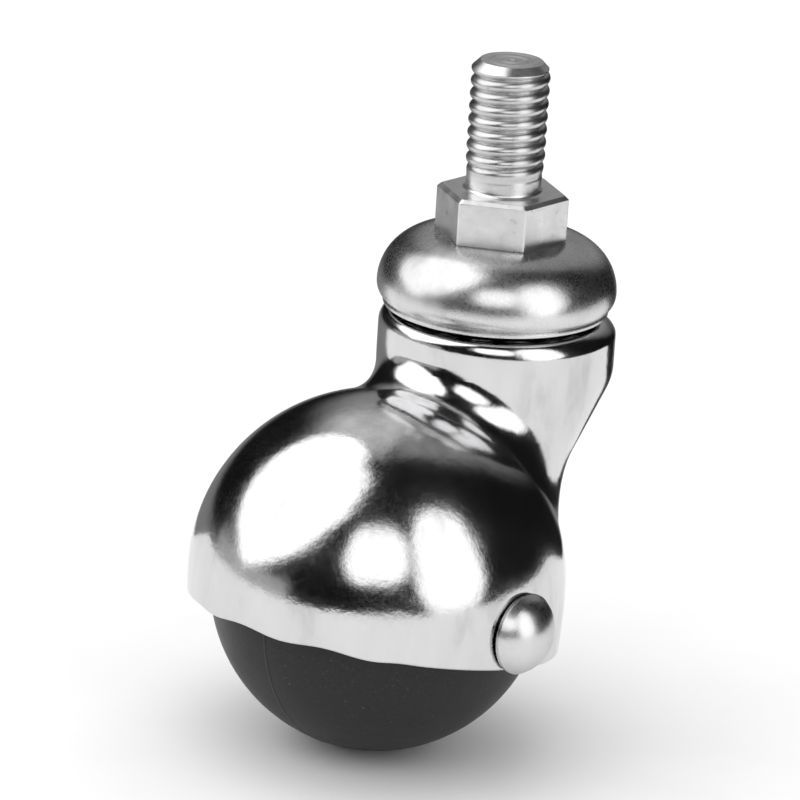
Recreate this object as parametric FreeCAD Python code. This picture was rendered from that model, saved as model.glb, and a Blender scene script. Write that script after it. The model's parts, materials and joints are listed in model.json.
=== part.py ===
import FreeCAD, Part
import math
import os

# Frame: the swivel axis is Z and the hexagon's top is z = 0, the ball trails toward -Y, the axle runs along X

# Ball and trail
BALL_GAP = 1.1
BALL_DROP = 45.92
TRAIL = 18.7

# Threaded stem, a 3/8 in thread of 16 turns to the inch
STEM_LENGTH = 16.0
THREAD_DIAMETER = 9.525
THREAD_PITCH = 1.5875
THREAD_DEPTH = 0.75
ROOT_FLAT = 0.3
CREST_FLAT = 0.3
TIP_CHAMFER = 1.0
SHANK_DIAMETER = 9.1
SHANK_LENGTH = 2.0
HEX_ACROSS_FLATS = 14.0
HEX_HEIGHT = 5.7
HEX_EDGE = 0.2

# Swivel journal and its fastening
RETAINER_MARGIN = 1.0
RETAINER_WIDTH = 2.4
RETAINER_THICKNESS = 1.5
JOURNAL_STEP = 0.8
FOOT_FLARE = 1.4
FOOT_HEIGHT = 1.6

# Swivel cap
CAP_RADIUS = 14.5
CAP_WALL = 1.2
CAP_CROWN = 6.4
CAP_CURL = 2.4
LIP_REACH = 0.3
LIP_HEIGHT = 0.45

# Swivel bearing
BEARING_BALL_DIAMETER = 4.762
BEARING_BALL_SPACE = 0.2
RACE_DEPTH = 0.4
CONTACT_ANGLE = 45.0
PLATEAU_DROP = 1.25
BOSS_HEIGHT = 4.0
RIM_GAP = 0.8

# Hood
HOOD_RADIUS = 22.7
HOOD_WALL = 1.4
HOOD_RISE = 0.97
HOOD_LEAD = 0.35
SKIRT_BOW = 80.0
RIM_DROP = 4.63
RIM_TILT = 10.2
RIM_ROUND = 0.35
CAP_OVERHANG = 0.5
SHOULDER_RADIUS = 1.4
NECK_STRAIGHT = 5.8
NECK_BEND = 4.0
NECK_FOOT_RISE = 1.95
CREASE_FILLET = 3.0

# Axle
AXLE_DIAMETER = 6.0
AXLE_FLAT_DEPTH = 0.35
AXLE_GRIP = 1.8
AXLE_CHAMFER = 0.3
AXLE_CAP_RADIUS = 4.9
AXLE_CAP_SEAT = 3.7
AXLE_CAP_GAP = 0.25
AXLE_CAP_EDGE = 0.5
AXLE_CAP_DOME = 2.95
SLEEVE_WALL = 1.2
SIDE_WASHER_RADIUS = 5.0
SIDE_WASHER_THICKNESS = 0.6

# Clearances
SEAT_CLEARANCE = 0.02
RUNNING_CLEARANCE = 0.05
THRUST_CLEARANCE = 0.1
RACE_CLEARANCE = 0.05

# Room that a cutting body has past the surface it cuts, and how near an edge lies to the line it is picked by
CUT_MARGIN = 2.0
EDGE_MATCH = 0.01

# Heights and radii worked out from the sizes above
UP = FreeCAD.Vector(0, 0, 1)
RIGHT = FreeCAD.Vector(1, 0, 0)
ORIGIN = FreeCAD.Vector(0, 0, 0)
ball_centre = FreeCAD.Vector(0, -TRAIL, -BALL_DROP)
ball_r = HOOD_RADIUS - HOOD_WALL - BALL_GAP
rim_point = ball_centre - UP * RIM_DROP
rim_normal = FreeCAD.Vector(0, math.sin(math.radians(RIM_TILT)), math.cos(math.radians(RIM_TILT)))
cap_top = -HEX_HEIGHT
crown_r = CAP_RADIUS - CAP_CROWN
crown_z = cap_top - CAP_CROWN
bearing_r = BEARING_BALL_DIAMETER / 2
contact = math.radians(CONTACT_ANGLE)
race_reach = CAP_CROWN - CAP_WALL - bearing_r - RACE_CLEARANCE
pitch_r = crown_r + race_reach * math.cos(contact)
pitch_z = crown_z + race_reach * math.sin(contact)
race_offset = bearing_r + RACE_CLEARANCE - RACE_DEPTH
bearing_count = int(math.pi / math.asin((bearing_r + BEARING_BALL_SPACE / 2) / pitch_r))
plateau_z = pitch_z - PLATEAU_DROP
ledge_z = plateau_z - BOSS_HEIGHT
cap_rim_z = ledge_z + RIM_GAP
neck_r = CAP_RADIUS - CAP_OVERHANG
neck_bend_z = ledge_z - NECK_STRAIGHT
dome_centre = ball_centre + FreeCAD.Vector(0, -HOOD_LEAD, HOOD_RISE)
neck_foot_y = dome_centre.y + math.sqrt(HOOD_RADIUS ** 2 - NECK_FOOT_RISE ** 2)
neck_foot_drop = neck_bend_z - dome_centre.z - NECK_FOOT_RISE
neck_back_slope = (neck_r - neck_foot_y) / (neck_foot_drop - NECK_BEND / 2)
axle_r = AXLE_DIAMETER / 2
axle_flat_x = HOOD_RADIUS - AXLE_FLAT_DEPTH
sleeve_r = axle_r + RUNNING_CLEARANCE + SLEEVE_WALL
inner_r = HOOD_RADIUS - HOOD_WALL
washer_out_x = math.sqrt(inner_r ** 2 - (HOOD_LEAD + SIDE_WASHER_RADIUS) ** 2) - THRUST_CLEARANCE
washer_in_x = washer_out_x - SIDE_WASHER_THICKNESS
sleeve_end_x = washer_in_x - THRUST_CLEARANCE


def slope_radius(z, inset):
    """Radius at height z of the conical slope that carries the lower race, moved inward by inset."""
    along = pitch_r * math.cos(contact) + pitch_z * math.sin(contact) - race_offset - inset
    return (along - z * math.sin(contact)) / math.cos(contact)


retainer_top = plateau_z - HOOD_WALL - THRUST_CLEARANCE
retainer_r = slope_radius(plateau_z - HOOD_WALL, HOOD_WALL) - RETAINER_MARGIN
foot_top = retainer_top - RETAINER_THICKNESS
tenon_r = retainer_r - RETAINER_WIDTH - SEAT_CLEARANCE
journal_r = tenon_r + JOURNAL_STEP


def turned(start, *steps):
    """Solid turned about Z: each step is a point (r, z), or a pair of points for an arc through the first."""
    edges = []
    here = FreeCAD.Vector(start[0], 0, start[1])
    for step in steps + (start,):
        if isinstance(step[0], tuple):
            middle = FreeCAD.Vector(step[0][0], 0, step[0][1])
            there = FreeCAD.Vector(step[1][0], 0, step[1][1])
            edges.append(Part.Arc(here, middle, there).toShape())
        else:
            there = FreeCAD.Vector(step[0], 0, step[1])
            edges.append(Part.makeLine(here, there))
        here = there
    return Part.Face(Part.Wire(edges)).revolve(ORIGIN, UP, 360)


def round_corner(r, z, radius):
    """Arc step from (r, z - radius) over a quarter turn to (r - radius, z)."""
    shift = radius * (1 - math.sqrt(0.5))
    return (r - shift, z - shift), (r - radius, z)


def edge_middle(edge):
    """Point halfway along an edge."""
    return edge.valueAt((edge.FirstParameter + edge.LastParameter) / 2)


def ring(inner, outer, bottom, top):
    """Flat ring about Z."""
    return turned((inner, bottom), (outer, bottom), (outer, top), (inner, top))


def along_axle(shape, side=1):
    """Turns a shape made about +Z so that it lies on the axle, pointing to the right or left side."""
    placed = shape.copy()
    placed.rotate(ORIGIN, FreeCAD.Vector(0, 1, 0), 90 * side)
    placed.translate(ball_centre)
    return placed


def thread_groove():
    """Groove between the thread's crests, from the shank past the tip."""
    crest_r = THREAD_DIAMETER / 2
    root_r = crest_r - THREAD_DEPTH
    half_top = (THREAD_PITCH - CREST_FLAT) / 2
    half_root = ROOT_FLAT / 2
    spread = (half_top - half_root) / THREAD_DEPTH
    out_r = crest_r + ROOT_FLAT
    half_out = half_root + spread * (out_r - root_r)
    start_z = SHANK_LENGTH + THREAD_PITCH
    turns = math.ceil((STEM_LENGTH - start_z) / THREAD_PITCH) + 1
    path = Part.makeLongHelix(THREAD_PITCH, turns * THREAD_PITCH, root_r)
    corners = [(root_r, -half_root), (out_r, -half_out), (out_r, half_out), (root_r, half_root)]
    points = [FreeCAD.Vector(r, 0, z) for r, z in corners]
    profile = Part.makePolygon(points + points[:1])
    groove = Part.Wire(path.Edges).makePipeShell([profile], True, True)
    groove.translate(FreeCAD.Vector(0, 0, start_z))
    return groove


def hexagon():
    """Spanner hexagon under the thread, with its top edges broken."""
    corner_r = HEX_ACROSS_FLATS / math.sqrt(3)
    corners = []
    for k in range(6):
        angle = math.radians(30 + 60 * k)
        corners.append(FreeCAD.Vector(corner_r * math.cos(angle), corner_r * math.sin(angle), cap_top))
    prism = Part.Face(Part.makePolygon(corners + corners[:1])).extrude(UP * HEX_HEIGHT)
    top_edges = [e for e in prism.Edges if abs(e.BoundBox.ZMin) < EDGE_MATCH]
    return prism.makeChamfer(HEX_EDGE, top_edges)


def threaded_stem():
    """Thread, hexagon, journal, tenon and peened foot in one turned piece."""
    crest_r = THREAD_DIAMETER / 2
    shank_r = SHANK_DIAMETER / 2
    half = math.sqrt(0.5)
    foot_low = foot_top - FOOT_HEIGHT
    foot_middle = (tenon_r + FOOT_FLARE * half, foot_top - FOOT_HEIGHT * half)
    shaft = turned(
        (0, foot_low),
        (tenon_r, foot_low),
        (foot_middle, (tenon_r + FOOT_FLARE, foot_top)),
        (tenon_r, foot_top),
        (tenon_r, retainer_top),
        (journal_r, retainer_top),
        (journal_r, cap_top),
        (shank_r, cap_top),
        (shank_r, SHANK_LENGTH),
        (crest_r, SHANK_LENGTH + crest_r - shank_r),
        (crest_r, STEM_LENGTH - TIP_CHAMFER),
        (crest_r - TIP_CHAMFER, STEM_LENGTH),
        (0, STEM_LENGTH),
    )
    return shaft.fuse(hexagon()).removeSplitter().cut(thread_groove())


def swivel_cap():
    """Pressed cover: flat top, round crown, rim curled in under the crown and turned out to a lip."""
    hole_r = journal_r + SEAT_CLEARANCE
    lip_top = cap_rim_z + LIP_HEIGHT
    curl_angle = math.asin((crown_z - lip_top) / CAP_CURL)
    curl_r = CAP_RADIUS - CAP_CURL
    curl_inner = CAP_CURL - CAP_WALL
    half = math.sqrt(0.5)
    crown_inner = CAP_CROWN - CAP_WALL

    def on_curl(radius, part):
        angle = curl_angle * part
        return curl_r + radius * math.cos(angle), crown_z - radius * math.sin(angle)

    neck_out = on_curl(CAP_CURL, 1)
    neck_in = on_curl(curl_inner, 1)
    return turned(
        (hole_r, cap_top),
        (crown_r, cap_top),
        ((crown_r + CAP_CROWN * half, crown_z + CAP_CROWN * half), (CAP_RADIUS, crown_z)),
        (on_curl(CAP_CURL, 0.5), neck_out),
        (neck_out[0] + LIP_REACH, neck_out[1]),
        (neck_out[0] + LIP_REACH, cap_rim_z),
        (neck_in[0], cap_rim_z),
        neck_in,
        (on_curl(curl_inner, 0.5), (CAP_RADIUS - CAP_WALL, crown_z)),
        ((crown_r + crown_inner * half, crown_z + crown_inner * half), (crown_r, cap_top - CAP_WALL)),
        (hole_r, cap_top - CAP_WALL),
    )


def bearing_ball(index):
    """One of the loose balls between the cap and the hood."""
    angle = 2 * math.pi * index / bearing_count
    centre = FreeCAD.Vector(pitch_r * math.cos(angle), pitch_r * math.sin(angle), pitch_z)
    return Part.makeSphere(bearing_r, centre)


def retaining_washer():
    """Washer on the tenon that keeps the hood up."""
    return ring(tenon_r + SEAT_CLEARANCE, retainer_r, foot_top, retainer_top)


def dome(inset):
    """Round cover over the ball, with a slightly bowed skirt under its widest line."""
    radius = HOOD_RADIUS - inset
    bow = SKIRT_BOW - inset
    depth = HOOD_RISE + RIM_DROP + HOOD_RADIUS * math.tan(math.radians(RIM_TILT)) + CUT_MARGIN

    def skirt(down):
        return radius - bow + math.sqrt(bow ** 2 - down ** 2), -down

    half = math.sqrt(0.5)
    cover = turned(
        (0, -depth),
        skirt(depth),
        (skirt(depth / 2), (radius, 0)),
        ((radius * half, radius * half), (0, radius)),
    )
    cover.translate(dome_centre)
    return cover


def neck_section(down, inset):
    """Circle of the neck at a depth under its straight part: the front stays upright, the back runs to the dome."""
    slope = neck_back_slope / 2
    if down < NECK_BEND:
        narrowing = slope * down ** 2 / (2 * NECK_BEND)
    else:
        narrowing = slope * (down - NECK_BEND / 2)
    centre = FreeCAD.Vector(0, -narrowing, neck_bend_z - down)
    return Part.Wire(Part.makeCircle(neck_r - inset - narrowing, centre, UP))


def neck(inset):
    """Upright neck with its rounded shoulder and raised boss, running on down into the dome."""
    shoulder = max(SHOULDER_RADIUS - inset, RIM_ROUND)
    radius = neck_r - inset
    ledge = ledge_z - inset
    plateau = plateau_z - inset
    top = turned(
        (0, neck_bend_z),
        (radius, neck_bend_z),
        (radius, ledge - shoulder),
        round_corner(radius, ledge, shoulder),
        (slope_radius(ledge, inset), ledge),
        (slope_radius(plateau, inset), plateau),
        (0, plateau),
    )
    deepest = neck_bend_z + BALL_DROP
    depths = [0, NECK_BEND / 2, NECK_BEND, (NECK_BEND + deepest) / 2, deepest]
    lower = Part.makeLoft([neck_section(down, inset) for down in depths], True, False)
    return top.fuse(lower)


def hood_form(inset):
    """Dome and neck as one round-creased form, moved inward by inset."""
    cover = dome(inset)
    horn = neck(inset)
    crease = cover.Shells[0].section(horn.Shells[0])
    form = cover.fuse(horn).removeSplitter()
    creased = [e for e in form.Edges if crease.distToShape(Part.Vertex(edge_middle(e)))[0] < EDGE_MATCH]
    return form.makeFillet(CREASE_FILLET + inset, creased)


def rim_cutter():
    """Block under the sloping rim."""
    side = 4 * HOOD_RADIUS
    block = Part.makeBox(side, side, side, FreeCAD.Vector(-side / 2, -side / 2, -side))
    block.rotate(ORIGIN, RIGHT, -RIM_TILT)
    block.translate(rim_point)
    return block


def hood():
    """Drawn shell with the lower race, the stem hole, the axle holes and their flats."""
    shell = hood_form(0).cut(hood_form(HOOD_WALL)).cut(rim_cutter())
    rim_edges = [e for e in shell.Edges if abs((edge_middle(e) - rim_point).dot(rim_normal)) < EDGE_MATCH]
    shell = shell.makeFillet(RIM_ROUND, rim_edges)
    race = Part.makeTorus(pitch_r, bearing_r + RACE_CLEARANCE, FreeCAD.Vector(0, 0, pitch_z), UP)
    stem_hole = Part.makeCylinder(
        journal_r + RUNNING_CLEARANCE, HOOD_WALL + 2 * CUT_MARGIN,
        FreeCAD.Vector(0, 0, plateau_z - HOOD_WALL - CUT_MARGIN))
    axle_hole = Part.makeCylinder(
        axle_r + SEAT_CLEARANCE, 2 * HOOD_RADIUS + 2 * CUT_MARGIN,
        FreeCAD.Vector(0, 0, -HOOD_RADIUS - CUT_MARGIN))
    flat = Part.makeCylinder(AXLE_CAP_RADIUS, CUT_MARGIN, FreeCAD.Vector(0, 0, axle_flat_x))
    cutters = [race, stem_hole, along_axle(axle_hole), along_axle(flat), along_axle(flat, -1)]
    return shell.cut(cutters)


def axle_pin():
    """Plain pin with broken ends."""
    half = axle_flat_x + AXLE_GRIP
    pin = Part.makeCylinder(axle_r, 2 * half, FreeCAD.Vector(0, 0, -half))
    ends = [e for e in pin.Edges if e.Closed]
    return along_axle(pin.makeChamfer(AXLE_CHAMFER, ends))


def axle_cap(side):
    """Domed cap on one end of the axle, with a stepped underside."""
    seat = axle_flat_x
    under = seat + AXLE_CAP_GAP
    edge = under + AXLE_CAP_EDGE
    tip = edge + AXLE_CAP_DOME
    sphere_r = (AXLE_CAP_RADIUS ** 2 + AXLE_CAP_DOME ** 2) / (2 * AXLE_CAP_DOME)
    half_angle = math.asin(AXLE_CAP_RADIUS / sphere_r) / 2
    middle = (sphere_r * math.sin(half_angle), tip - sphere_r * (1 - math.cos(half_angle)))
    bore_r = axle_r + SEAT_CLEARANCE
    bore_end = seat + AXLE_GRIP + SEAT_CLEARANCE
    body = turned(
        (bore_r, seat),
        (AXLE_CAP_SEAT, seat),
        (AXLE_CAP_SEAT, under),
        (AXLE_CAP_RADIUS, under),
        (AXLE_CAP_RADIUS, edge),
        (middle, (0, tip)),
        (0, bore_end),
        (bore_r, bore_end),
    )
    return along_axle(body, side)


def side_washer(side):
    """Thrust washer on the axle between the hub and the hood."""
    return along_axle(ring(axle_r + RUNNING_CLEARANCE, SIDE_WASHER_RADIUS, washer_in_x, washer_out_x), side)


def ball_wheel():
    """Moulded ball with its bore."""
    bore = Part.makeCylinder(
        sleeve_r + SEAT_CLEARANCE, 2 * ball_r + 2 * CUT_MARGIN,
        FreeCAD.Vector(0, 0, -ball_r - CUT_MARGIN))
    return along_axle(Part.makeSphere(ball_r).cut(bore))


def hub_sleeve():
    """Bush that the ball turns on."""
    return along_axle(ring(axle_r + RUNNING_CLEARANCE, sleeve_r, -sleeve_end_x, sleeve_end_x))


def build():
    """All pieces by node name."""
    pieces = {
        "threaded_stem": threaded_stem(),
        "swivel_cap": swivel_cap(),
        "retaining_washer": retaining_washer(),
        "hood": hood(),
        "axle_pin": axle_pin(),
        "axle_cap_right": axle_cap(1),
        "axle_cap_left": axle_cap(-1),
        "side_washer_right": side_washer(1),
        "side_washer_left": side_washer(-1),
        "ball_wheel": ball_wheel(),
        "hub_sleeve": hub_sleeve(),
    }
    for index in range(bearing_count):
        pieces[f"bearing_ball_{index + 1:02d}"] = bearing_ball(index)
    return pieces


os.makedirs("parts", exist_ok=True)
for node, shape in build().items():
    shape.exportStep(f"parts/{node}.step")
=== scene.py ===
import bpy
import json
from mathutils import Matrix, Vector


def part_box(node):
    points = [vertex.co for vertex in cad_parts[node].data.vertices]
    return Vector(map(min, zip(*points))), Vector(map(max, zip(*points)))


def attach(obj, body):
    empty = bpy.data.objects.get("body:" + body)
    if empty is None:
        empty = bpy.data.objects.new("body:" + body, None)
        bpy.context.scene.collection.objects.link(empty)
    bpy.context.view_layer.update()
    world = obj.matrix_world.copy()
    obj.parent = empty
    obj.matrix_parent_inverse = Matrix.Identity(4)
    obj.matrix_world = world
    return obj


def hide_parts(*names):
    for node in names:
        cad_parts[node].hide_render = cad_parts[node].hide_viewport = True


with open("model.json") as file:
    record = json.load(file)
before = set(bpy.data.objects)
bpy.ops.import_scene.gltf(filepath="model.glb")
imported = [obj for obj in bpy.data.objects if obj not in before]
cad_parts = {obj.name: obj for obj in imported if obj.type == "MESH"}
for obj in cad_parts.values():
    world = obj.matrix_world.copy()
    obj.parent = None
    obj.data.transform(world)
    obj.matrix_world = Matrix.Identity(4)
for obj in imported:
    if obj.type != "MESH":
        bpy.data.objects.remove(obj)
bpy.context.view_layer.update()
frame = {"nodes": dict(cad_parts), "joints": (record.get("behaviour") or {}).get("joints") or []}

import json
import math
import bmesh
import bpy
import numpy as np
from mathutils import Matrix, Vector

# Lengths are in mm in the frame's axes: Z is the swivel axis, the ball trails toward -Y, the axle is along X
MM = 0.001


def box_mm(node):
    """Lowest and highest corner of a CAD node."""
    low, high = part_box(node)
    return np.array(low) / MM, np.array(high) / MM


# Places and sizes taken from the frame
joint_at = {j["name"]: np.array(j["pos_m"]) / MM for j in frame["joints"]}
ball_centre = joint_at["ball_roll"]
ball_low, ball_high = box_mm("ball_wheel")
ball_r = (ball_high[2] - ball_low[2]) / 2
floor_z = ball_low[2]
bearing_low, bearing_high = box_mm("bearing_ball_01")
bearing_r = (bearing_high[2] - bearing_low[2]) / 2
pitch_r, _, pitch_z = (bearing_low + bearing_high) / 2
sleeve_low, sleeve_high = box_mm("hub_sleeve")
sleeve_r = (sleeve_high[2] - sleeve_low[2]) / 2
pin_low, pin_high = box_mm("axle_pin")
pin_r = (pin_high[2] - pin_low[2]) / 2
washer_low, washer_high = box_mm("retaining_washer")
axle_cap_low, axle_cap_high = box_mm("axle_cap_right")
axle_seat, axle_tip = axle_cap_low[0], axle_cap_high[0]
axle_cap_r = (axle_cap_high[2] - axle_cap_low[2]) / 2

# Clearances
CLEARANCE = 0.05
SEAT_CLEARANCE = 0.02

# Hood's dome and rim
HOOD_RADIUS = 22.7
HOOD_WALL = 1.4
HOOD_RISE = 0.97
HOOD_LEAD = 0.35
SKIRT_BOW = 80.0
RIM_DROP = 4.63
RIM_TILT = 10.2
RIM_ROUND = 0.35

# Wave in the rim: height, angle and length in degrees, where it ends in lengths, how fast it fades upward
RIM_WAVE = 0.22
RIM_WAVE_AT = 253.0
RIM_WAVE_LENGTH = 28.0
RIM_WAVE_END = 1.6
RIM_WAVE_FADE = 14

# Hood's neck, shoulder and lower race; the crease's rounding grows toward the back between two places in Y
NECK_RADIUS = 14.0
NECK_STRAIGHT = 5.8
NECK_BEND = 2.4
NECK_BACK_SLOPE = 29.8
NECK_SHIFT = 0.6
NECK_SPREAD = 0.4
NECK_JOIN = 2.0
CREASE_FRONT = 4.4
CREASE_BACK = 6.0
CREASE_FRONT_Y = -12.0
CREASE_BACK_Y = 4.0
SHOULDER_RADIUS = 1.4
SHOULDER_DROP = 2.0
SHOULDER_REACH = 2.0
PLATEAU_DROP = 1.25
BOSS_HEIGHT = 4.0
RACE_DEPTH = 0.4

# Planes that cut the hood into rows: the crease's place on the middle plane and its tilt in degrees, and how
# far the level plane at the collar lies over the neck's bend
CREASE_PLANE_Y = -5.5
CREASE_PLANE_Z = -32.5
CREASE_PLANE_TILT = 48.0
COLLAR_PLANE_RISE = 1.0

# Swivel cap
CAP_RADIUS = 14.5
CAP_WALL = 1.2
CAP_CROWN = 6.4
CAP_CURL = 2.4
CURL_START = -2.0
LIP_REACH = 0.3
LIP_HEIGHT = 0.45
LIP_TOP_ROUND = 0.1
LIP_FOOT_ROUND = 0.12
RIM_GAP = 0.8

# Stem
STEM_LENGTH = 16.0
THREAD_RADIUS = 4.7625
THREAD_PITCH = 1.5875
THREAD_DEPTH = 0.62
THREAD_FULLNESS = 0.7
THREAD_START = 1.4
THREAD_FULL = 4.4
THREAD_PHASE = 0.25
# Painted shade on the thread: the share by which its colour is darkened, and the length over which that
# fades at its ends
THREAD_PAINTED_SHADE = 0.24
PAINTED_SHADE_FADE = 0.4
TIP_CHAMFER = 1.0
TIP_EDGE = 0.02
TIP_DISH = 0.14
TIP_WAVES = 2.5
COLLAR_RADIUS = 4.55
COLLAR_ROUND = 0.45
HEX_HALF = 7.0
HEX_HEIGHT = 5.7
HEX_EDGE = 0.25
HEX_CHAMFER = 0.45
HEX_FOOT = 0.16
RETAINER_WIDTH = 2.4
JOURNAL_STEP = 0.8
FOOT_FLARE = 1.4
FOOT_HEIGHT = 1.6

# Axle caps; the dome is a sphere inside a share of the radius, and its edge is rounded toward a point that
# lies at a share of the radius and of the dome's rise
AXLE_GRIP = 1.8
AXLE_CAP_SEAT = 3.7
AXLE_CAP_GAP = 0.25
AXLE_CAP_EDGE = 0.5
AXLE_CAP_ROUND = 0.18
AXLE_DOME_SHARE = 0.9
AXLE_AIM_RADIUS = 0.94
AXLE_AIM_RISE = 0.15

# Mould line of the ball
FLASH_HEIGHT = 0.05
FLASH_WIDTH = 0.16
FLASH_BAND = 4

# Mesh fineness: columns around, rows along, how the hood's rows crowd, and steps in mm
HOOD_COLUMNS = 192
LATHE_COLUMNS = 144
BALL_COLUMNS = 160
SECTOR_COLUMNS = 24
HOLE_COLUMNS = 64
HOLE_TURN = 0.021
DOME_ROWS = 90
DOME_CROWDING = 1.35
NECK_ROWS = 46
NECK_CROWDING = 1.3
SEARCH_STEPS = 40
SHOULDER_ROWS = 16
RACE_ROWS = 14
CORNER_ROWS = 7
SMALL_ARC_ROWS = 6
CROWN_ROWS = 40
CROWN_INNER_ROWS = 24
CURL_ROWS = 10
CURL_INNER_ROWS = 8
FOOT_ROWS = 10
TIP_ROWS = 16
AXLE_DOME_ROWS = 40
BALL_ROWS = 160
FLASH_ROWS = 33
THREAD_STEP = 0.07
LONG_STEP = 0.6
SUPPORT = 0.05
MERGE = 0.0001
WELD = 0.002

# Shares of the way at which the hexagon's flat faces and bevels have rows
SOLE_SHARES = (0.5, 0.98, 1)
BEVEL_SHARES = (0.12, 0.88)
LAND_SHARES = (0.03, 0.25, 0.5, 0.75, 0.97)

# Heights and radii worked out from the sizes above
cap_top = -HEX_HEIGHT
crown_r = CAP_RADIUS - CAP_CROWN
crown_z = cap_top - CAP_CROWN
plateau_z = pitch_z - PLATEAU_DROP
ledge_z = plateau_z - BOSS_HEIGHT
cap_rim_z = ledge_z + RIM_GAP
neck_bend_z = ledge_z - NECK_STRAIGHT
dome_centre = ball_centre + np.array([0, -HOOD_LEAD, HOOD_RISE])
race_r = bearing_r + CLEARANCE
race_offset = race_r - RACE_DEPTH
tenon_r = washer_high[0] - RETAINER_WIDTH - SEAT_CLEARANCE
journal_r = tenon_r + JOURNAL_STEP


# Mesh helpers
def add_mesh(name, rows, look, close_rows=False):
    """Smooth mesh object from rows of points in mm, rows x columns x 3; each row closes on itself."""
    points = np.asarray(rows, float)
    count, columns = points.shape[:2]
    row = np.arange(count if close_rows else count - 1)[:, None]
    column = np.arange(columns)[None, :]
    after = (column + 1) % columns
    here = row * columns
    below = (row + 1) % count * columns
    corners = [here + column, here + after, below + after, below + column]
    faces = np.stack(corners, -1).reshape(-1, 4)
    mesh = bpy.data.meshes.new(name)
    mesh.from_pydata((points.reshape(-1, 3) * MM).tolist(), [], faces.tolist())
    shape = bmesh.new()
    shape.from_mesh(mesh)
    bmesh.ops.remove_doubles(shape, verts=shape.verts, dist=MERGE * MM)
    bmesh.ops.recalc_face_normals(shape, faces=shape.faces)
    shape.to_mesh(mesh)
    shape.free()
    mesh.shade_smooth()
    mesh.materials.append(look)
    piece = bpy.data.objects.new(name, mesh)
    bpy.context.scene.collection.objects.link(piece)
    return piece


def stands_for(piece, node, body):
    """Puts a visual piece in the place of a CAD node."""
    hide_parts(node)
    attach(piece, body)


def arc(centre, radius, start, stop, count):
    """Points (r, z) on a circle from one angle to another, in degrees."""
    angle = np.radians(np.linspace(start, stop, count))
    return [(centre[0] + radius * math.cos(a), centre[1] + radius * math.sin(a)) for a in angle]


def rounded(corners):
    """Outline through corners (r, z, rounding), with arcs and support points; the ends have no rounding."""
    outline = []
    for k, (r, z, rounding) in enumerate(corners):
        here = np.array([r, z])
        if rounding == 0:
            outline.append(here)
            continue
        to_before = np.array(corners[k - 1][:2]) - here
        to_after = np.array(corners[k + 1][:2]) - here
        to_before /= np.linalg.norm(to_before)
        to_after /= np.linalg.norm(to_after)
        half = math.acos(np.clip(to_before @ to_after, -1, 1)) / 2
        reach = rounding / math.tan(half)
        middle = (to_before + to_after) / np.linalg.norm(to_before + to_after)
        centre = here + middle * rounding / math.sin(half)
        start = here + to_before * reach - centre
        stop = here + to_after * reach - centre
        outline.append(here + to_before * (reach + SUPPORT))
        for part in np.linspace(0, 1, CORNER_ROWS):
            step = start * (1 - part) + stop * part
            outline.append(centre + step * rounding / np.linalg.norm(step))
        outline.append(here + to_after * (reach + SUPPORT))
    return outline


def filled(outline):
    """The same outline with its long straight parts divided."""
    points = [np.array(p, float) for p in outline]
    dense = [points[0]]
    for a, b in zip(points, points[1:]):
        parts = max(1, math.ceil(np.linalg.norm(b - a) / LONG_STEP))
        dense.extend(a + (b - a) * k / parts for k in range(1, parts + 1))
    return dense


def lathe_z(outline, columns):
    """Rows of points of an outline (r, z) turned about Z; columns are the angles."""
    profile = np.array(outline)
    r, z = profile[:, :1], profile[:, 1:]
    flat = np.zeros_like(columns)[None, :]
    return np.stack([r * np.cos(columns), r * np.sin(columns), z + flat], -1)


def lathe_axle(outline, columns, side=1):
    """Rows of points of an outline (r, x) turned about the axle, pointing to the right or left side."""
    turned = lathe_z(outline, columns)
    return np.stack([turned[..., 2] * side, turned[..., 0], turned[..., 1]], -1) + ball_centre


def even_angles(count):
    """Angles of a full turn."""
    return np.arange(count) * 2 * math.pi / count


def ramp(value, low, high):
    """Smooth step from 0 at low to 1 at high."""
    t = np.clip((value - low) / (high - low), 0, 1)
    return t * t * (3 - 2 * t)


# Node material helpers
def add_node(tree, kind, settings=None, **sockets):
    """Shader node with its settings and sockets; a socket takes a value or another node's output."""
    node = tree.nodes.new(kind)
    for key, value in (settings or {}).items():
        setattr(node, key, value)
    for key, value in sockets.items():
        socket = node.inputs[key.replace("_", " ")]
        if isinstance(value, bpy.types.NodeSocket):
            tree.links.new(value, socket)
        else:
            socket.default_value = value
    return node


def noise(tree, place, scale, detail=3.0, roughness=0.55, stretch=None):
    """Noise of a scale in features to the metre, stretched along the axes if asked."""
    if stretch:
        place = add_node(tree, "ShaderNodeMapping", Vector=place, Scale=stretch).outputs["Vector"]
    sockets = {"Vector": place, "Scale": scale, "Detail": detail, "Roughness": roughness}
    return add_node(tree, "ShaderNodeTexNoise", **sockets).outputs["Fac"]


def between(tree, value, low, high, start=0.3, stop=0.7):
    """A value spread from start and stop to low and high, and held there."""
    sockets = {"Value": value, "From_Min": start, "From_Max": stop, "To_Min": low, "To_Max": high}
    return add_node(tree, "ShaderNodeMapRange", **sockets).outputs["Result"]


def plus(tree, a, b):
    """Sum of two values."""
    node = tree.nodes.new("ShaderNodeMath")
    tree.links.new(a, node.inputs[0])
    tree.links.new(b, node.inputs[1])
    return node.outputs[0]


def colours(tree, value, stops):
    """Colour ramp over a value; stops are (position, red, green, blue)."""
    node = tree.nodes.new("ShaderNodeValToRGB")
    tree.links.new(value, node.inputs["Fac"])
    band = node.color_ramp
    while len(band.elements) < len(stops):
        band.elements.new(0.5)
    for element, (position, *colour) in zip(band.elements, stops):
        element.position = position
        element.color = (*colour, 1)
    return node.outputs["Color"]


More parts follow.
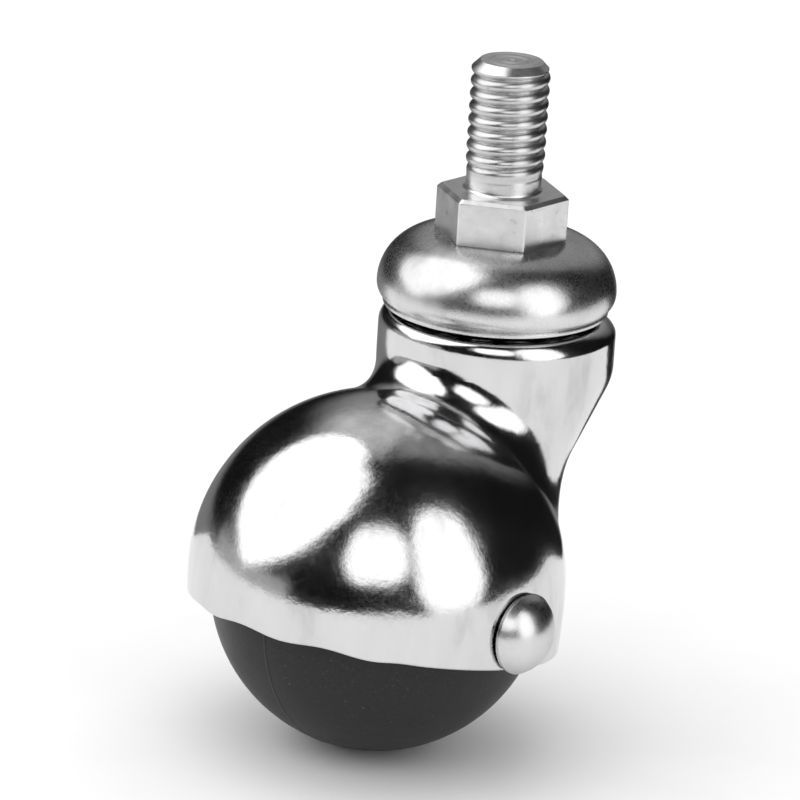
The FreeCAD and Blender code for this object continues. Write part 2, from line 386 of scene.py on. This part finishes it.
def surface(name, base, roughness, bump, metallic, specular=0.5):
    """Material whose base colour, roughness and bump come from functions of the tree and the place."""
    look = bpy.data.materials.new(name)
    look.use_nodes = True
    tree = look.node_tree
    shader = tree.nodes["Principled BSDF"]
    place = add_node(tree, "ShaderNodeTexCoord").outputs["Object"]
    shader.inputs["Metallic"].default_value = metallic
    shader.inputs["Specular IOR Level"].default_value = specular
    tree.links.new(base(tree, place), shader.inputs["Base Color"])
    tree.links.new(roughness(tree, place), shader.inputs["Roughness"])
    height, depth = bump(tree, place)
    relief = add_node(tree, "ShaderNodeBump", Height=height, Distance=depth * MM, Strength=1.0)
    tree.links.new(relief.outputs["Normal"], shader.inputs["Normal"])
    return look


def chrome(name, dullness):
    """Polished plating: slight orange peel, faint stains, small changes of polish."""
    def base(tree, place):
        stain = noise(tree, place, 170, 5.0, 0.6, (1, 1, 0.35))
        stops = [(0.3, 0.5, 0.5, 0.5), (0.46, 0.64, 0.64, 0.645), (0.7, 0.69, 0.69, 0.695)]
        return colours(tree, stain, stops)

    def roughness(tree, place):
        wide = between(tree, noise(tree, place, 120, 4.0), dullness, dullness + 0.08)
        fine = between(tree, noise(tree, place, 2500, 2.0), -0.02, 0.03)
        return plus(tree, wide, fine)

    def bump(tree, place):
        peel = noise(tree, place, 320, 4.0, 0.62)
        dents = between(tree, noise(tree, place, 85, 1.0), 0, 1.6, 0, 1)
        return plus(tree, peel, dents), 0.038

    return surface(name, base, roughness, bump, 1.0)


def thread_share(tree, place, painted_shade):
    """Share of the plating's colour left under painted shade, which darkens the thread between shank and
    tip.
    """
    level = add_node(tree, "ShaderNodeMapping", Vector=place, Scale=(1, 1, 0)).outputs["Vector"]
    out = add_node(tree, "ShaderNodeVectorMath", {"operation": "LENGTH"}, Vector=level).outputs["Value"]
    height = add_node(tree, "ShaderNodeSeparateXYZ", Vector=place).outputs["Z"]
    chamfer_z = STEM_LENGTH - TIP_CHAMFER
    half_fade = PAINTED_SHADE_FADE / 2
    beyond = between(tree, out, 0, 1, THREAD_RADIUS * MM, (THREAD_RADIUS + PAINTED_SHADE_FADE) * MM)
    tip = between(tree, height, 0, 1, (chamfer_z - half_fade) * MM, (chamfer_z + half_fade) * MM)
    shank = between(tree, height, 1, 0, THREAD_START * MM, (THREAD_START + 2 * PAINTED_SHADE_FADE) * MM)
    bright = plus(tree, plus(tree, beyond, tip), shank)
    return between(tree, bright, 1 - painted_shade, 1, 0, 1)


def zinc(name, painted_shade):
    """Dull bright plating with small dark spots, and painted shade that darkens the thread where asked."""
    def base(tree, place):
        spots = noise(tree, place, 900, 4.0, 0.65)
        stops = [(0.26, 0.46, 0.46, 0.46), (0.36, 0.74, 0.74, 0.745), (0.75, 0.81, 0.81, 0.81)]
        plate = colours(tree, spots, stops)
        if not painted_shade:
            return plate
        # Painted shade: the thread's colour is darkened, standing in for shade between its turns
        unshaded = thread_share(tree, place, painted_shade)
        mixed = add_node(tree, "ShaderNodeVectorMath", {"operation": "SCALE"}, Vector=plate, Scale=unshaded)
        return mixed.outputs["Vector"]

    def roughness(tree, place):
        return between(tree, noise(tree, place, 400, 4.0), 0.26, 0.38)

    def bump(tree, place):
        return noise(tree, place, 700, 3.0, 0.5), 0.03

    return surface(name, base, roughness, bump, 1.0)


def rubber():
    """Charcoal rubber, satin, with a fine grain and a few pale specks of dust."""
    def base(tree, place):
        dust = noise(tree, place, 2600, 2.0, 0.5)
        stops = [(0.3, 0.014, 0.014, 0.0145), (0.7, 0.02, 0.02, 0.0205), (0.82, 0.12, 0.12, 0.12)]
        return colours(tree, dust, stops)

    def roughness(tree, place):
        return between(tree, noise(tree, place, 90, 4.0), 0.4, 0.52)

    def bump(tree, place):
        return noise(tree, place, 1800, 3.0, 0.6), 0.02

    return surface("ball rubber", base, roughness, bump, 0.0, 0.25)


def steel():
    """Plain ground steel with fine scratches."""
    def base(tree, place):
        stops = [(0.3, 0.42, 0.42, 0.42), (0.7, 0.56, 0.56, 0.555)]
        return colours(tree, noise(tree, place, 500, 4.0), stops)

    def roughness(tree, place):
        return between(tree, noise(tree, place, 900, 4.0), 0.18, 0.34)

    def bump(tree, place):
        return noise(tree, place, 2200, 2.0), 0.01

    return surface("bare steel", base, roughness, bump, 1.0)


def nylon():
    """Pale bush plastic."""
    def base(tree, place):
        stops = [(0.3, 0.62, 0.6, 0.55), (0.7, 0.72, 0.7, 0.65)]
        return colours(tree, noise(tree, place, 300, 4.0), stops)

    def roughness(tree, place):
        return between(tree, noise(tree, place, 700, 3.0), 0.4, 0.55)

    def bump(tree, place):
        return noise(tree, place, 1500, 3.0), 0.015

    return surface("bush nylon", base, roughness, bump, 0.0)


# Looks of the frame's slots, and two for visual pieces alone
CHROME_DULLNESS = 0.1
WORN_DULLNESS = 0.24
looks = {
    "chrome_plate": chrome("chrome plate", CHROME_DULLNESS),
    "zinc_plate": zinc("zinc plate", 0),
    "zinc_with_painted_thread_shade": zinc("zinc plate with painted thread shade", THREAD_PAINTED_SHADE),
    "ball_rubber": rubber(),
    # Zinc whose thread colour is darkened by painted shade
    "bare_steel": steel(),
    "bush_nylon": nylon(),
    "dull_chrome": chrome("dull chrome plate", WORN_DULLNESS),
}
for cad_node in frame["nodes"].values():
    for holder in cad_node.material_slots:
        holder.material = looks[holder.material.name.split(".")[0]]


# Hood
def hood_distance(points, inset):
    """About the distance from points to the hood's outer form moved inward by inset, negative inside."""
    x, y, z = points[..., 0], points[..., 1], points[..., 2]
    away = points - dome_centre
    around = np.hypot(away[..., 0], away[..., 1])
    radius = HOOD_RADIUS - inset
    bow = SKIRT_BOW - inset
    down = np.clip(-away[..., 2], 0, bow)
    skirt = around - (radius - bow + np.sqrt(bow ** 2 - down ** 2))
    cover = np.where(away[..., 2] > 0, np.linalg.norm(away, axis=-1) - radius, skirt)
    depth = np.maximum(neck_bend_z - z, 0)
    bent = np.where(depth < NECK_BEND, depth ** 2 / (2 * NECK_BEND), depth - NECK_BEND / 2)
    narrowing = bent * math.tan(math.radians(NECK_BACK_SLOPE)) / 2
    neck_r = NECK_RADIUS + NECK_SPREAD - inset - narrowing
    horn = np.hypot(x, y - NECK_SHIFT + narrowing) - neck_r
    backward = ramp(y, CREASE_FRONT_Y, CREASE_BACK_Y)
    blend = CREASE_FRONT + (CREASE_BACK - CREASE_FRONT) * backward + inset
    pull = np.hypot(np.maximum(blend - cover, 0), np.maximum(blend - horn, 0))
    return np.maximum(blend, np.minimum(cover, horn)) - pull


def rim_wave(columns):
    """Height of the rim's wave at each column."""
    turn = np.degrees(columns) - RIM_WAVE_AT
    lift = -RIM_WAVE * np.cos(2 * math.pi * turn / RIM_WAVE_LENGTH)
    from_middle = np.abs(turn - RIM_WAVE_LENGTH)
    return lift * (1 - ramp(from_middle, RIM_WAVE_LENGTH, RIM_WAVE_END * RIM_WAVE_LENGTH))


def hood_rings(inset, columns):
    """Rows of points on the hood, cut by planes that fan from the rim over the crease to the level neck."""
    above_rim = RIM_ROUND / math.cos(math.radians(RIM_TILT))
    rim = (ball_centre[1], ball_centre[2] - RIM_DROP + above_rim, RIM_TILT)
    crease = (CREASE_PLANE_Y, CREASE_PLANE_Z, CREASE_PLANE_TILT)
    collar = (0.0, neck_bend_z + COLLAR_PLANE_RISE, 0.0)
    lower = 1 - (1 - np.linspace(0, 1, DOME_ROWS)) ** DOME_CROWDING
    upper = np.linspace(0, 1, NECK_ROWS)[1:] ** NECK_CROWDING
    planes = [[a + (b - a) * s for a, b in zip(rim, crease)] for s in lower]
    planes += [[a + (b - a) * s for a, b in zip(crease, collar)] for s in upper]
    planes = np.array(planes)
    tilt = np.radians(planes[:, 2:])
    across, along = np.cos(columns)[None, :], np.sin(columns)[None, :]
    way = np.stack([across + 0 * tilt, along * np.cos(tilt), -along * np.sin(tilt)], -1)
    middle = np.stack([0 * planes[:, 0], planes[:, 0], planes[:, 1]], -1)[:, None, :]
    near = np.zeros(way.shape[:2])
    far = np.full(way.shape[:2], 2 * HOOD_RADIUS)
    for _ in range(SEARCH_STEPS):
        half = (near + far) / 2
        inside = hood_distance(middle + way * half[..., None], inset) < 0
        near = np.where(inside, half, near)
        far = np.where(inside, far, half)
    fade = np.append((1 - lower) ** RIM_WAVE_FADE, np.zeros(len(upper)))
    wave = fade[:, None] * rim_wave(columns)[None, :]
    return middle + way * ((near + far) / 2)[..., None] + np.array([0, 0, 1]) * wave[..., None]


def slope_radius(z, inset):
    """Radius at height z of the slope that carries the lower race, moved inward by inset."""
    return pitch_r + pitch_z - (race_offset + inset) * math.sqrt(2) - z


def hood_top(columns):
    """Rows from the neck over shoulder, ledge, race and stem hole, and back down the neck's inside."""
    hole_r = journal_r + CLEARANCE
    groove_r = pitch_r - math.sqrt(race_r ** 2 - PLATEAU_DROP ** 2)
    start = -180 + math.degrees(math.asin(PLATEAU_DROP / race_r))
    stop = -135 + math.degrees(math.acos(race_offset / race_r))
    under = plateau_z - HOOD_WALL
    step = ledge_z - HOOD_WALL
    inner_r = NECK_RADIUS - HOOD_WALL
    outline = [(NECK_RADIUS, neck_bend_z + NECK_JOIN)]
    for angle in np.radians(np.linspace(0, 90, SHOULDER_ROWS)):
        back = SHOULDER_RADIUS * (1 - math.cos(angle))
        outline.append((NECK_RADIUS - back, ledge_z - SHOULDER_DROP * (1 - math.sin(angle))))
    outline += [(slope_radius(ledge_z, 0) + SUPPORT, ledge_z), (slope_radius(ledge_z, 0), ledge_z)]
    outline += arc((pitch_r, pitch_z), race_r, stop, start, RACE_ROWS)
    outline += [(groove_r - SUPPORT, plateau_z), (hole_r + SUPPORT, plateau_z), (hole_r, plateau_z)]
    outline += [(hole_r, under), (hole_r + SUPPORT, under), (slope_radius(under, HOOD_WALL), under)]
    outline += [(slope_radius(step, HOOD_WALL), step)]
    outline += arc((inner_r - RIM_ROUND, step - RIM_ROUND), RIM_ROUND, 90, 0, SMALL_ARC_ROWS)
    outline += [(inner_r, neck_bend_z + NECK_JOIN)]
    rows = lathe_z(filled(outline), columns)
    out = np.hypot(rows[..., 0], rows[..., 1])
    moved = ramp(ledge_z - rows[..., 2], 0, SHOULDER_DROP)
    moved = moved * ramp(out, NECK_RADIUS - SHOULDER_REACH, inner_r)
    rows[..., :2] *= 1 + (moved * NECK_SPREAD / NECK_RADIUS)[..., None]
    rows[..., 1] += moved * NECK_SHIFT
    return rows


def hood_lip(out_edge, in_edge):
    """Rows around the rim's rounded edge, from the inside to the outside."""
    wall = out_edge - in_edge
    wall /= np.linalg.norm(wall, axis=-1, keepdims=True)
    tilt = math.radians(RIM_TILT)
    down = -np.array([0, math.sin(tilt), math.cos(tilt)])
    angles = np.radians(np.linspace(0, 90, CORNER_ROWS)[1:])
    inner, outer = [], []
    for angle in angles:
        inward = wall * RIM_ROUND * (1 - math.cos(angle))
        drop = down * RIM_ROUND * math.sin(angle)
        inner.append(in_edge + inward + drop)
        outer.append(out_edge - inward + drop)
    return np.array(inner + outer[::-1])


def hood_rows():
    """Closed rows of the hood: outside from the rim up, top, inside down, rounded rim."""
    columns = even_angles(HOOD_COLUMNS)
    outside = hood_rings(0, columns)
    inside = hood_rings(HOOD_WALL, columns)
    from_axle = np.linalg.norm(outside[..., 1:] - ball_centre[1:], axis=-1)
    flat = from_axle < axle_cap_r
    outside[flat, 0] = np.clip(outside[flat, 0], -axle_seat, axle_seat)
    return np.concatenate([outside, hood_top(columns), inside[::-1], hood_lip(outside[0], inside[0])])


def drill_axle_holes(piece):
    """Cuts the two holes that the axle pin sits in."""
    end = HOOD_RADIUS + HOOD_WALL
    hole_r = pin_r + SEAT_CLEARANCE
    outline = [(0, -end), (hole_r, -end), (hole_r, end), (0, end)]
    angles = even_angles(HOLE_COLUMNS) + HOLE_TURN
    drill = add_mesh("axle drill", lathe_axle(outline, angles), looks["chrome_plate"])
    cut = piece.modifiers.new("axle holes", "BOOLEAN")
    cut.operation = "DIFFERENCE"
    cut.solver = "EXACT"
    cut.object = drill
    ready = bpy.context.evaluated_depsgraph_get()
    drilled = bpy.data.meshes.new_from_object(piece.evaluated_get(ready))
    shape = bmesh.new()
    shape.from_mesh(drilled)
    bmesh.ops.remove_doubles(shape, verts=shape.verts, dist=WELD * MM)
    cut_faces = [face for face in shape.faces if len(face.verts) > 4]
    bmesh.ops.triangulate(shape, faces=cut_faces, ngon_method="BEAUTY")
    shape.to_mesh(drilled)
    shape.free()
    piece.modifiers.clear()
    piece.data = drilled
    bpy.data.objects.remove(drill)


hood = add_mesh("hood_shell", hood_rows(), looks["chrome_plate"], close_rows=True)
drill_axle_holes(hood)
stands_for(hood, "hood", "hood")


# Swivel cap
def cap_outline():
    """Closed outline of the pressed cover, outside then inside."""
    hole_r = journal_r + SEAT_CLEARANCE
    lip_top = cap_rim_z + LIP_HEIGHT
    turn = math.degrees(math.asin((crown_z - lip_top) / CAP_CURL))
    crown = (crown_r, crown_z)
    curl = (CAP_RADIUS - CAP_CURL, crown_z)
    outside = arc(crown, CAP_CROWN, 90, 0, CROWN_ROWS)
    outside += arc(curl, CAP_CURL, CURL_START, -turn, CURL_ROWS)
    inside = arc(curl, CAP_CURL - CAP_WALL, -turn, CURL_START, CURL_INNER_ROWS)
    inside += arc(crown, CAP_CROWN - CAP_WALL, 0, 90, CROWN_INNER_ROWS)
    neck_r, neck_in = outside[-1][0], inside[0][0]
    lip = rounded([
        (*outside[-1], 0),
        (neck_r + LIP_REACH, lip_top, LIP_TOP_ROUND),
        (neck_r + LIP_REACH, cap_rim_z, LIP_FOOT_ROUND),
        (neck_in, cap_rim_z, 0),
    ])
    bore = [(hole_r, cap_top - CAP_WALL), (hole_r, cap_top), (hole_r + SUPPORT, cap_top)]
    return filled(outside + lip[1:] + inside + bore + outside[:1])[:-1]


cap_rows = lathe_z(cap_outline(), even_angles(LATHE_COLUMNS))
cap = add_mesh("swivel_cover", cap_rows, looks["dull_chrome"], close_rows=True)
stands_for(cap, "swivel_cap", "stem")


# Threaded stem
def hex_radius(columns, half, rounding):
    """Radius of a hexagon with rounded corners, whose flats are half its width from the axis."""
    sector = math.pi / 3
    off = np.abs((columns + sector / 2) % sector - sector / 2)
    core = half - rounding
    corner = core / math.cos(sector / 2)
    side = corner * np.sin(sector / 2 - off)
    round_r = corner * np.cos(sector / 2 - off) + np.sqrt(np.maximum(rounding ** 2 - side ** 2, 0))
    on_flat = half * np.tan(off) <= core * math.tan(sector / 2)
    return np.where(on_flat, half / np.cos(off), round_r)


def thread_radius(z, columns):
    """Radius of the shank and the thread at height z, within the tip's chamfer."""
    turn = z / THREAD_PITCH - columns / (2 * math.pi) + THREAD_PHASE
    crest = np.abs(np.cos(math.pi * turn)) ** THREAD_FULLNESS
    cut = THREAD_RADIUS - THREAD_DEPTH * (1 - crest)
    made = ramp(z, THREAD_START, THREAD_FULL)
    limit = THREAD_RADIUS - max(0, z - STEM_LENGTH + TIP_CHAMFER)
    return np.minimum(COLLAR_RADIUS + (cut - COLLAR_RADIUS) * made, limit)


def foot_outline():
    """Outline (r, z) of the peened foot, the tenon and the journal, from the bottom up to the hexagon."""
    foot_top = washer_low[2]
    foot_low = foot_top - FOOT_HEIGHT
    outline = [(0, foot_low), (tenon_r, foot_low)]
    for angle in np.radians(np.linspace(0, 90, FOOT_ROWS)):
        outline.append((tenon_r + FOOT_FLARE * math.sin(angle), foot_top - FOOT_HEIGHT * math.cos(angle)))
    outline += [(tenon_r, foot_top), (tenon_r, washer_high[2]), (journal_r, washer_high[2])]
    outline += [(journal_r, cap_top - SUPPORT), (journal_r, cap_top)]
    return filled(outline)


def stem_rows():
    """Rows from the peened foot up over journal, hexagon and collar to the thread's tip."""
    sector = math.pi / 3
    part = (1 - np.cos(np.linspace(0, math.pi, SECTOR_COLUMNS + 1)[:-1])) / 2
    columns = np.concatenate([sector * (k + 0.5 + part) for k in range(6)])
    rings = foot_outline()
    base = hex_radius(columns, HEX_HALF, HEX_EDGE)
    sole = hex_radius(columns, HEX_HALF - HEX_FOOT, HEX_EDGE)
    rings += [(journal_r + (sole - journal_r) * share, cap_top) for share in SOLE_SHARES]
    rings += [(sole + (base - sole) * share, cap_top + HEX_FOOT * share) for share in BEVEL_SHARES]
    foot_z = cap_top + HEX_FOOT
    rings += [(base, z) for z in (foot_z, foot_z + SUPPORT, cap_top / 2)]
    rings += [(base, -HEX_CHAMFER - SUPPORT), (base, -HEX_CHAMFER)]
    for share in (*BEVEL_SHARES, 1):
        edge = hex_radius(columns, HEX_HALF - HEX_CHAMFER * share, HEX_EDGE)
        rings.append((edge, HEX_CHAMFER * (share - 1)))
    foot_r = COLLAR_RADIUS + COLLAR_ROUND
    rings += [(edge + (foot_r - edge) * share, 0) for share in LAND_SHARES]
    for angle in np.radians(np.linspace(90, 0, SMALL_ARC_ROWS)):
        rings.append((foot_r - COLLAR_ROUND * math.cos(angle), COLLAR_ROUND * (1 - math.sin(angle))))
    heights = np.arange(COLLAR_ROUND, STEM_LENGTH - THREAD_STEP / 2, THREAD_STEP)[1:]
    heights = np.append(heights, STEM_LENGTH - TIP_EDGE)
    rings += [(thread_radius(z, columns), z) for z in heights]
    tip = rings[-1][0]
    for share in np.linspace(1, 0, TIP_ROWS)[1:]:
        dish = TIP_DISH * math.sin(TIP_WAVES * math.pi * (1 - share)) ** 2
        rings.append((tip * share, STEM_LENGTH - dish))
    r = np.array([radius + 0 * columns for radius, _ in rings])
    z = np.array([height + 0 * columns for _, height in rings])
    return np.stack([r * np.cos(columns), r * np.sin(columns), z], -1)


stem = add_mesh("turned_stem", stem_rows(), looks["zinc_with_painted_thread_shade"])
stands_for(stem, "threaded_stem", "stem")


# Axle caps
def axle_cap_outline():
    """Outline (r, x) from the seat over the underside and the dome to the tip, then back along the bore."""
    bore_r = pin_r + SEAT_CLEARANCE
    bore_end = axle_seat + AXLE_GRIP + SEAT_CLEARANCE
    under = axle_seat + AXLE_CAP_GAP
    edge = under + AXLE_CAP_EDGE
    rise = axle_tip - edge
    sphere_r = (axle_cap_r ** 2 + rise ** 2) / (2 * rise)
    low = math.degrees(math.acos(axle_cap_r / sphere_r))
    side = rounded([
        (bore_r, axle_seat, 0),
        (AXLE_CAP_SEAT, axle_seat, AXLE_CAP_ROUND / 2),
        (AXLE_CAP_SEAT, under, AXLE_CAP_ROUND / 2),
        (axle_cap_r, under, AXLE_CAP_ROUND),
        (axle_cap_r, edge, AXLE_CAP_ROUND),
        (axle_cap_r * AXLE_AIM_RADIUS, edge + rise * AXLE_AIM_RISE, 0),
    ])
    sphere = arc((0, axle_tip - sphere_r), sphere_r, low, 90, AXLE_DOME_ROWS)
    dome = [point for point in sphere if point[0] < axle_cap_r * AXLE_DOME_SHARE]
    bore = [(0, bore_end), (bore_r, bore_end), (bore_r, axle_seat)]
    return filled(side[:-1] + dome + bore)


for side, word in ((1, "right"), (-1, "left")):
    dome_rows = lathe_axle(axle_cap_outline(), even_angles(LATHE_COLUMNS), side)
    dome_cap = add_mesh(f"axle_dome_{word}", dome_rows, looks["dull_chrome"])
    stands_for(dome_cap, f"axle_cap_{word}", "hood")


# Ball
def ball_outline():
    """Closed outline (r, x) of the moulded ball with its bore and the fine mould line at the middle."""
    bore_r = sleeve_r + SEAT_CLEARANCE
    reach = math.sqrt(ball_r ** 2 - bore_r ** 2)
    wide = np.linspace(-1, 1, BALL_ROWS)
    close = np.linspace(-FLASH_BAND, FLASH_BAND, FLASH_ROWS) * FLASH_WIDTH
    angles = np.unique(np.concatenate([wide * math.asin(reach / ball_r), close / ball_r]))
    skin = []
    for angle in angles:
        r = ball_r + FLASH_HEIGHT * math.exp(-(ball_r * angle / FLASH_WIDTH) ** 2)
        skin.append((r * math.cos(angle), r * math.sin(angle)))
    bore = [(bore_r, reach - SUPPORT), (bore_r, -reach + SUPPORT)]
    return filled(skin + bore + skin[:1])[:-1]


ball_rows = lathe_axle(ball_outline(), even_angles(BALL_COLUMNS))
ball = add_mesh("moulded_ball", ball_rows, looks["ball_rubber"], close_rows=True)
stands_for(ball, "ball_wheel", "wheel")

# Camera, placed for the photo's view
VIEW_AZIMUTH = 40.0
VIEW_ELEVATION = 18.0
VIEW_ROLL = 3.6
VIEW_DISTANCE = 700.0
VIEW_AIM = np.array([-3.06, -13.1, -24.8])
LENS_PER_DISTANCE = 0.375
SENSOR_WIDTH = 36


def direction(longitude, latitude):
    """World direction from the object; longitude 0 is toward the camera and grows to the camera's right."""
    turn = math.radians(VIEW_AZIMUTH) + np.radians(longitude)
    rise = np.radians(latitude)
    return np.stack([np.sin(turn) * np.cos(rise), -np.cos(turn) * np.cos(rise), np.sin(rise)], -1)


camera_data = bpy.data.cameras.new("camera")
camera_data.sensor_width = SENSOR_WIDTH
camera_data.lens = LENS_PER_DISTANCE * VIEW_DISTANCE
camera = bpy.data.objects.new("camera", camera_data)
bpy.context.scene.collection.objects.link(camera)
toward_camera = Vector(direction(0.0, VIEW_ELEVATION))
turn = (-toward_camera).to_track_quat("-Z", "Y").to_matrix().to_4x4()
turn = turn @ Matrix.Rotation(math.radians(VIEW_ROLL), 4, "Z")
camera_place = (Vector(VIEW_AIM) + toward_camera * VIEW_DISTANCE) * MM
camera.matrix_world = Matrix.Translation(camera_place) @ turn
bpy.context.scene.camera = camera

# Studio: pale floor, dark tent with softboxes that shows in reflections, broad lamp and white surround
FLOOR_SIDE = 8000.0
FLOOR_COLOUR = (0.9, 0.9, 0.9)
FLOOR_MOTTLE = 0.97
FLOOR_ROUGHNESS = 0.7
LAMP_STRENGTH = 1.1
LAMP_SPREAD = 80.0
LAMP_LONGITUDE = -65.0
LAMP_LATITUDE = 62.0
SKY_FILL = 0.94

# Tent: its foot and the top of its low wall as latitudes seen from the dome, the angles from the back
# between which the foot moves out, how closely it keeps above the floor, and its mesh
TENT_RADIUS = 1500.0
TENT_DARK = 0.008
TENT_FOOT = -3.2
TENT_FOOT_BACK = -12.0
TENT_WALL = 6.0
TENT_BACK_NEAR = 30.0
TENT_BACK_FAR = 58.0
TENT_ABOVE_FLOOR = 0.97
TENT_LEVEL = 0.1
TENT_STEP = 2.0
TENT_ROWS = 70
TENT_TOP = 0.995

# Three softboxes, then grey walls: longitude, latitude, half width and half height in degrees, growth of
# the half width with latitude, soft edge in degrees, strength
PANEL_ROUND = 0.8
PANELS = [
    (-87, 41, 48, 40, 0.68, 8, 1.8),
    (0, 31, 21.5, 17, 0.0, 8, 1.7),
    (48, 25, 22.5, 29.5, 0.0, 8, 1.7),
    (166, 40, 38, 40, 0.5, 20, 0.29),
    (-166, 64, 26, 24, 0.0, 22, 0.45),
    (-162, -8, 44, 6, 0.0, 6, 0.22),
    (-85, -1, 32, 6, 0.0, 6, 0.45),
]


def floor_look():
    """Pale floor with a little mottling."""
    def base(tree, place):
        dark = [FLOOR_MOTTLE * c for c in FLOOR_COLOUR]
        return colours(tree, noise(tree, place, 30, 3.0), [(0.3, *dark), (0.7, *FLOOR_COLOUR)])

    def roughness(tree, place):
        return between(tree, noise(tree, place, 60, 3.0), FLOOR_ROUGHNESS, FLOOR_ROUGHNESS + 0.1)

    def bump(tree, place):
        return noise(tree, place, 200, 2.0), 0.01

    return surface("floor", base, roughness, bump, 0.0)


def floor():
    """Square floor under the ball."""
    half = FLOOR_SIDE / 2
    signs = ((-1, -1), (1, -1), (1, 1), (-1, 1))
    ring = np.array([(a * half, b * half, floor_z) for a, b in signs])
    middle = np.repeat([[0, 0, floor_z]], len(signs), axis=0)
    return add_mesh("floor", [ring, ring * [0.5, 0.5, 1], middle], floor_look())


def tent_glow(longitude, latitude):
    """Brightness of the tent in a direction."""
    glow = np.full(longitude.shape, TENT_DARK)
    for centre, height, half_width, half_height, growth, soft, strength in PANELS:
        aside = np.abs((longitude - centre + 180) % 360 - 180)
        side = aside - half_width - growth * (latitude - height)
        end = np.abs(latitude - height) - half_height
        corner = PANEL_ROUND * min(half_width, half_height)
        past = np.hypot(np.maximum(side + corner, 0), np.maximum(end + corner, 0)) - corner
        glow += strength * (1 - ramp(past, -soft / 2, soft / 2))
    return glow


def tent_look():
    """Emission that takes its strength from the points."""
    look = bpy.data.materials.new("tent")
    look.use_nodes = True
    look.cycles.emission_sampling = "NONE"
    tree = look.node_tree
    tree.nodes.clear()
    level = add_node(tree, "ShaderNodeAttribute", {"attribute_name": "glow"}).outputs["Fac"]
    light = add_node(tree, "ShaderNodeEmission", Strength=level)
    add_node(tree, "ShaderNodeOutputMaterial", Surface=light.outputs["Emission"])
    return look


def tent():
    """Tent above the floor whose glow is written on its points."""
    longitude, part = np.meshgrid(np.arange(0, 360, TENT_STEP), np.linspace(0, TENT_TOP, TENT_ROWS))
    forward = ramp(np.abs(longitude - 180), TENT_BACK_NEAR, TENT_BACK_FAR)
    lowest = TENT_FOOT_BACK + (TENT_FOOT - TENT_FOOT_BACK) * forward
    latitude = lowest + (90 - lowest) * part
    height = dome_centre[2] - floor_z
    foot = height / np.sin(-np.radians(lowest))
    opening = np.clip((latitude - lowest) / (TENT_WALL - lowest), 0, 1)
    over_floor = height / np.sin(np.radians(np.maximum(-latitude, TENT_LEVEL)))
    away = np.minimum(foot * (TENT_RADIUS / foot) ** opening, TENT_ABOVE_FLOOR * over_floor)
    points = direction(longitude, latitude) * away[..., None] + dome_centre
    made = add_mesh("tent", points, tent_look())
    attribute = made.data.attributes.new("glow", "FLOAT", "POINT")
    glow = tent_glow(longitude, latitude)
    attribute.data.foreach_set("value", glow.reshape(-1).astype(np.float32))
    made.visible_camera = False
    made.visible_diffuse = False
    made.visible_shadow = False
    return made


floor()
tent()

lamp_data = bpy.data.lights.new("top lamp", "SUN")
lamp_data.energy = LAMP_STRENGTH
lamp_data.angle = math.radians(LAMP_SPREAD)
lamp = bpy.data.objects.new("top lamp", lamp_data)
bpy.context.scene.collection.objects.link(lamp)
lamp.visible_glossy = False
from_lamp = Vector(-direction(LAMP_LONGITUDE, LAMP_LATITUDE))
lamp.rotation_euler = from_lamp.to_track_quat("-Z", "Y").to_euler()

world = bpy.data.worlds.new("studio")
world.use_nodes = True
sky = world.node_tree
seen = add_node(sky, "ShaderNodeLightPath").outputs["Is Camera Ray"]
level = between(sky, seen, SKY_FILL, 1.0, 0.0, 1.0)
sky.links.new(level, sky.nodes["Background"].inputs["Strength"])
sky.nodes["Background"].inputs["Color"].default_value = (1, 1, 1, 1)
bpy.context.scene.world = world
bpy.context.scene.view_settings.view_transform = "Standard"
